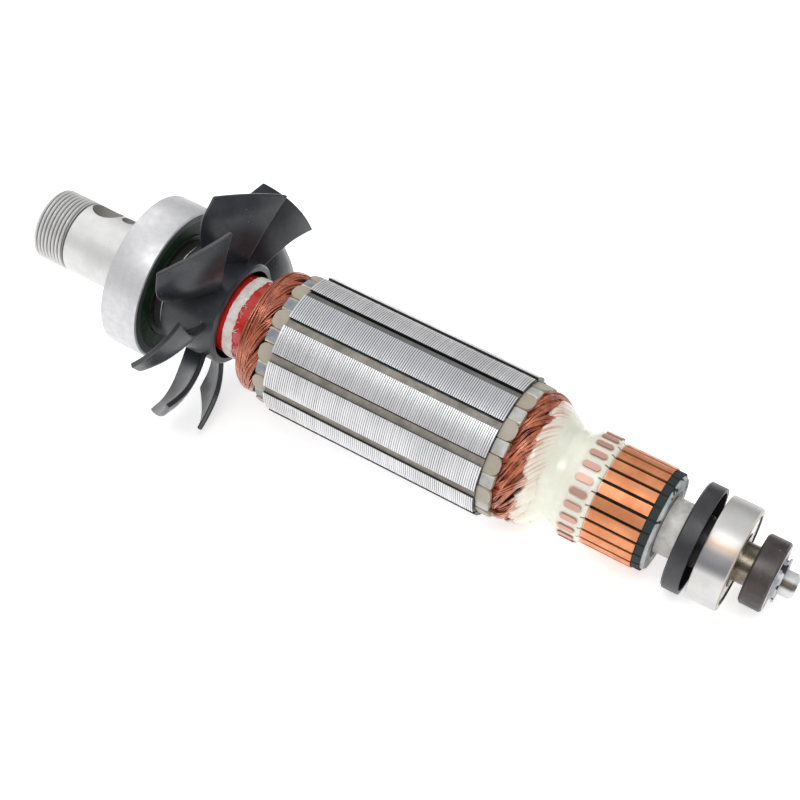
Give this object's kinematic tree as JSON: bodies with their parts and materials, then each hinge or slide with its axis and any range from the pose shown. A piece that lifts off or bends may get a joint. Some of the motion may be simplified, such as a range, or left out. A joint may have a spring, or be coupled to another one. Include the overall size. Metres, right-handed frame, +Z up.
{
  "type": "motor armature",
  "caption": "Wound motor armature with a hollow collet spindle, cooling fan, slotted core, commutator, ball bearings and a magnet ring on one shaft.",
  "frame": {"origin": "on the shaft axis, in the middle of the big drive-end bearing's width", "axes": "+X along the shaft axis from the collet nose to the magnet end; +Z up, as it lies at rest on two fan blades and the small bearing, square to the shaft axis; angles are right-handed about +X from +Y"},
  "size_m": [0.2407, 0.0746, 0.0746],
  "materials": {
    "ground_steel": "satin ground steel",
    "bearing_steel": "fine ground steel",
    "ball_steel": "polished",
    "cage_steel": "pressed steel",
    "shield_steel": "bright pressed steel",
    "seal_rubber": "dark green rubber",
    "fan_plastic": "satin charcoal moulding",
    "red_insulation": "glossy red",
    "white_tape": "white tape",
    "enamel_copper": "enamelled copper wire",
    "insulator_plastic": "translucent grey-blue moulding",
    "core_steel": "bright laminations",
    "slot_paper": "beige insulating paper",
    "cream_resin": "cream resin",
    "bar_copper": "turned copper",
    "dark_moulding": "dark brown moulding",
    "pale_moulding": "pale grey",
    "white_sleeve": "white tube",
    "slinger_rubber": "dark grey moulding",
    "magnet_compound": "bonded magnet, brown grey"
  },
  "bodies": {
    "rotor": {"spindle_shaft": "ground_steel", "drive_bearing_inner_ring": "bearing_steel", "cooling_fan": "fan_plastic", "shaft_sleeve": "red_insulation", "tape_band": "white_tape", "drive_end_winding": "enamel_copper", "drive_end_insulator": "insulator_plastic", "laminated_core": "core_steel", "slot_liners": "slot_paper", "slot_wedges": "slot_paper", "slot_conductors": "enamel_copper", "commutator_end_insulator": "insulator_plastic", "commutator_end_winding": "enamel_copper", "winding_resin": "cream_resin", "commutator_bars": "bar_copper", "commutator_moulding": "dark_moulding", "commutator_end_ring": "pale_moulding", "commutator_sleeve": "white_sleeve", "dust_slinger": "slinger_rubber", "bearing_spacer": "bearing_steel", "rear_bearing_inner_ring": "bearing_steel", "magnet_bush": "bearing_steel", "sensor_magnet": "magnet_compound", "magnet_clip": "bearing_steel"},
    "drive_outer_ring": {"drive_bearing_outer_ring": "bearing_steel", "drive_bearing_front_seal": "seal_rubber", "drive_bearing_back_seal": "seal_rubber"},
    "drive_ball_cage": {"drive_bearing_cage": "cage_steel", "drive_bearing_balls": "ball_steel"},
    "rear_outer_ring": {"rear_bearing_outer_ring": "bearing_steel", "rear_bearing_front_seal": "shield_steel", "rear_bearing_back_seal": "shield_steel"},
    "rear_ball_cage": {"rear_bearing_cage": "cage_steel", "rear_bearing_balls": "ball_steel"}
  },
  "joints": [
    {"name": "drive_ring_spin", "type": "hinge", "parent": "rotor", "child": "drive_outer_ring", "pos_m": [0, 0, 0], "axis": [1, 0, 0], "continuous": true},
    {"name": "drive_cage_spin", "type": "hinge", "parent": "rotor", "child": "drive_ball_cage", "pos_m": [0, 0, 0], "axis": [1, 0, 0], "continuous": true},
    {"name": "rear_ring_spin", "type": "hinge", "parent": "rotor", "child": "rear_outer_ring", "pos_m": [0.1801, 0, 0], "axis": [1, 0, 0], "continuous": true},
    {"name": "rear_cage_spin", "type": "hinge", "parent": "rotor", "child": "rear_ball_cage", "pos_m": [0.1801, 0, 0], "axis": [1, 0, 0], "continuous": true}
  ],
  "couplings": [
    {"joint": "drive_cage_spin", "follows": "drive_ring_spin", "ratio": 0.58819},
    {"joint": "rear_cage_spin", "follows": "rear_ring_spin", "ratio": 0.61905}
  ]
}
